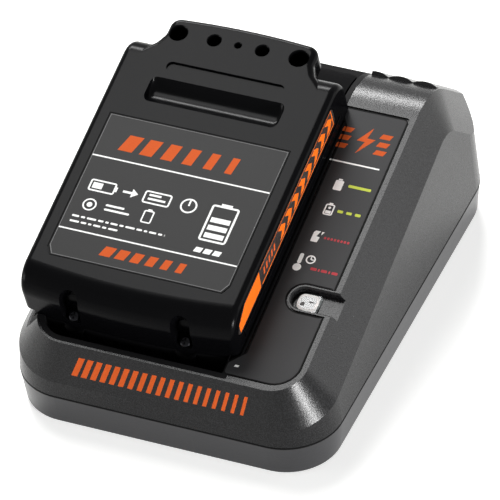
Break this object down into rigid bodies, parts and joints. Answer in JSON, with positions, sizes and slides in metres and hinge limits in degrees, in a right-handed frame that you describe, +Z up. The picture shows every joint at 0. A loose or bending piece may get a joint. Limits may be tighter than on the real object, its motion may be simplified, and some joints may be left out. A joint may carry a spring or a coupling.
{
  "type": "power tool battery charger",
  "caption": "Bench charger with a tilted deck, a dock that holds a slide-on battery pack, a printed status panel with a light lens and a ribbed rear slope.",
  "frame": {"origin": "middle of the footprint on the table, under the whole part", "axes": "+X to the right as seen from the front, +Y to the rear where the cord inlet is, +Z up"},
  "size_m": [0.1172, 0.1682, 0.0846],
  "materials": {
    "housing_plastic": "fine grained moulded plastic",
    "base_plastic": "moulded plastic",
    "foot_rubber": "rubber",
    "screw_steel": "zinc plated steel",
    "dock_plastic": "moulded plastic",
    "panel_plastic": "printed plastic plate",
    "lens_plastic": "clear moulded lens",
    "gland_rubber": "rubber",
    "circuit_board": "solder mask",
    "ferrite": "sintered ferrite",
    "bobbin_plastic": "moulded nylon",
    "winding_copper": "enamelled copper",
    "capacitor_sleeve": "shrink sleeve",
    "sink_aluminium": "extruded",
    "chip_resin": "moulded resin",
    "fuse_glass": "glass tube",
    "nickel_strip": "nickel plated",
    "terminal_plastic": "moulded nylon",
    "light_resin": "tinted resin",
    "contact_brass": "stamped",
    "pack_plastic": "polished moulding",
    "label_film": "printed film",
    "side_film": "printed film",
    "rail_plastic": "moulded plastic",
    "cell_sleeve": "shrink sleeve",
    "pad_foam": "closed cell foam",
    "latch_plastic": "moulded plastic",
    "spring_steel": "spring wire"
  },
  "bodies": {
    "charger": {"upper_housing": "housing_plastic", "lower_housing": "base_plastic", "rubber_feet": "foot_rubber", "housing_screws": "screw_steel", "dock_tray": "dock_plastic", "status_panel": "panel_plastic", "status_lens": "lens_plastic", "cord_gland": "gland_rubber", "main_board": "circuit_board", "board_screws": "screw_steel", "transformer_core": "ferrite", "transformer_bobbin": "bobbin_plastic", "transformer_winding": "winding_copper", "capacitors": "capacitor_sleeve", "choke_core": "ferrite", "choke_winding": "winding_copper", "heat_sink": "sink_aluminium", "power_devices": "chip_resin", "device_screws": "screw_steel", "fuse": "fuse_glass", "fuse_clips": "nickel_strip", "mains_terminal": "terminal_plastic", "control_chips": "chip_resin", "light_board": "circuit_board", "light_board_screws": "screw_steel", "status_lights": "light_resin", "contact_block": "dock_plastic", "dock_blades": "contact_brass", "contact_block_screws": "screw_steel"},
    "pack": {"pack_top_shell": "pack_plastic", "pack_label": "label_film", "side_label_right": "side_film", "side_label_left": "side_film", "pack_rail_shell": "rail_plastic", "pack_screws": "screw_steel", "cells": "cell_sleeve", "cell_holder_left": "bobbin_plastic", "cell_holder_right": "bobbin_plastic", "cell_strips": "nickel_strip", "foam_pad": "pad_foam", "pack_board": "circuit_board", "board_spacers": "bobbin_plastic", "pack_chips": "chip_resin", "contact_receptacle": "dock_plastic", "contact_clips": "contact_brass", "latch_springs": "spring_steel"},
    "latch": {"release_latch": "latch_plastic"}
  },
  "joints": [
    {"name": "pack_slide", "type": "slide", "parent": "charger", "child": "pack", "axis": [0, 0.9656, 0.26], "range_m": [0, 0.14]},
    {"name": "release_press", "type": "slide", "parent": "pack", "child": "latch", "axis": [0, -0.26, 0.9656], "range_m": [0, 0.003], "stiffness_N_per_m": 300, "springref_m": -0.004, "deforming": ["latch_springs"]}
  ]
}
